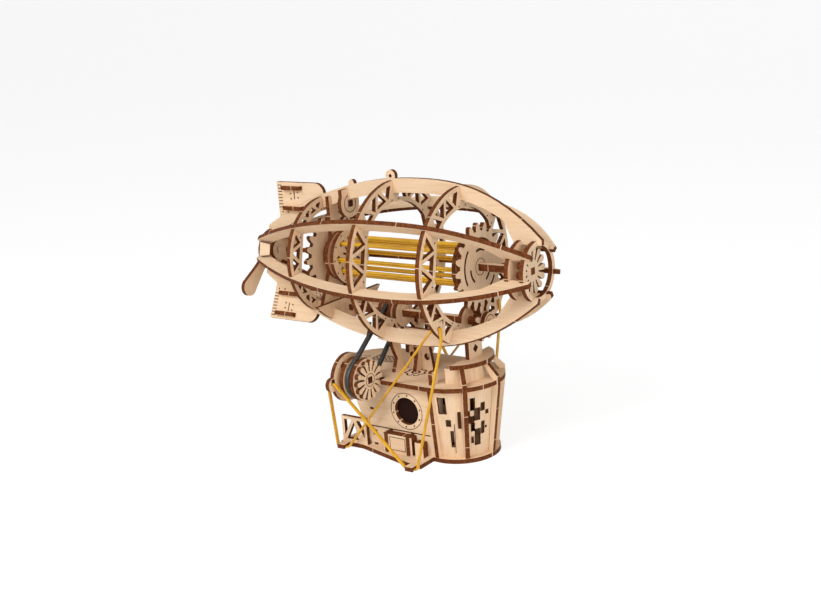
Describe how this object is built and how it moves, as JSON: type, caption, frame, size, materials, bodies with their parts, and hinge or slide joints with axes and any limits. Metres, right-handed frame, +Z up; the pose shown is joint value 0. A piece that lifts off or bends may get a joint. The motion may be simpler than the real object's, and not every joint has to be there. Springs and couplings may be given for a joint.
{
  "type": "airship model",
  "caption": "Plywood airship model: ribbed envelope with a rubber-band motor, gears and a tail propeller, over a gondola driven by a belt and held by crossed bands.",
  "frame": {"origin": "underside of the gondola's floor, below the front face of the middle ring, on the centre plane", "axes": "+X towards the nose along the envelope's axis, +Y to port, +Z up"},
  "size_m": [0.1562, 0.0848, 0.1266],
  "materials": {
    "birch_ply": "bare sanded birch plywood",
    "burnt_ply": "plywood pieces seen mostly by their laser-burnt edges",
    "band_rubber": "yellow rubber band, slightly glossy",
    "belt_rubber": "black rubber belt, matt"
  },
  "bodies": {
    "hull": {"rib_top": "birch_ply", "rib_bottom_fore": "birch_ply", "rib_bottom_aft": "birch_ply", "rib_bottom_port": "birch_ply", "rib_starboard_upper": "birch_ply", "rib_starboard_lower": "birch_ply", "rib_port_upper": "birch_ply", "rib_port_lower": "birch_ply", "ring_aft": "birch_ply", "ring_mid": "birch_ply", "ring_fore": "birch_ply", "nose_plate": "birch_ply", "nose_ring": "birch_ply", "tail_end_plate": "birch_ply", "tail_cheeks": "burnt_ply", "tail_fins": "birch_ply", "fin_slats": "burnt_ply", "bearing_plate_upper": "birch_ply", "bearing_plate_lower": "birch_ply", "upper_peg": "burnt_ply", "rear_frame": "birch_ply", "drive_belt": "belt_rubber", "pulley_bracket": "birch_ply", "floor_plate": "birch_ply", "roof_plate": "birch_ply", "starboard_wall": "birch_ply", "port_wall": "birch_ply", "stern_plate": "birch_ply", "bulkhead": "birch_ply", "cabin_wall": "birch_ply", "cabin_ribs": "burnt_ply", "canopy_plate": "birch_ply", "collar_wall": "birch_ply", "truss_frames": "birch_ply", "cargo_boxes": "birch_ply", "crate_straps": "burnt_ply", "column": "birch_ply", "front_post": "birch_ply", "rigging_bands": "band_rubber"},
    "rotor": {"main_shaft": "burnt_ply", "shaft_bushes": "birch_ply", "rear_gear": "burnt_ply", "plain_disc": "birch_ply", "rear_band_disc": "birch_ply", "motor_bands": "band_rubber", "front_band_disc": "birch_ply", "front_gear": "birch_ply", "nose_wheel": "birch_ply"},
    "layshaft_body": {"layshaft": "burnt_ply", "lay_bushes": "birch_ply", "pinion": "burnt_ply", "upper_pulley_core": "burnt_ply", "upper_pulley_flanges": "birch_ply"},
    "pulley_body": {"lower_pulley_core": "burnt_ply", "lower_pulley_flange": "birch_ply", "lower_petal_flange": "birch_ply", "pulley_axle": "burnt_ply"},
    "propeller_body": {"prop_axle": "burnt_ply", "propeller": "birch_ply"}
  },
  "joints": [
    {"name": "rotor_spin", "type": "hinge", "parent": "hull", "child": "rotor", "pos_m": [0, 0, 0.086], "axis": [1, 0, 0], "continuous": true},
    {"name": "layshaft_spin", "type": "hinge", "parent": "hull", "child": "layshaft_body", "pos_m": [0, 0, 0.0615], "axis": [1, 0, 0], "continuous": true},
    {"name": "pulley_spin", "type": "hinge", "parent": "hull", "child": "pulley_body", "pos_m": [-0.00615, -0.028, 0.038], "axis": [1, 0, 0], "continuous": true},
    {"name": "propeller_spin", "type": "hinge", "parent": "hull", "child": "propeller_body", "pos_m": [0, 0, 0.086], "axis": [1, 0, 0], "continuous": true}
  ],
  "couplings": [
    {"joint": "layshaft_spin", "follows": "rotor_spin", "ratio": -2.5},
    {"joint": "pulley_spin", "follows": "rotor_spin", "ratio": -1.8072}
  ]
}
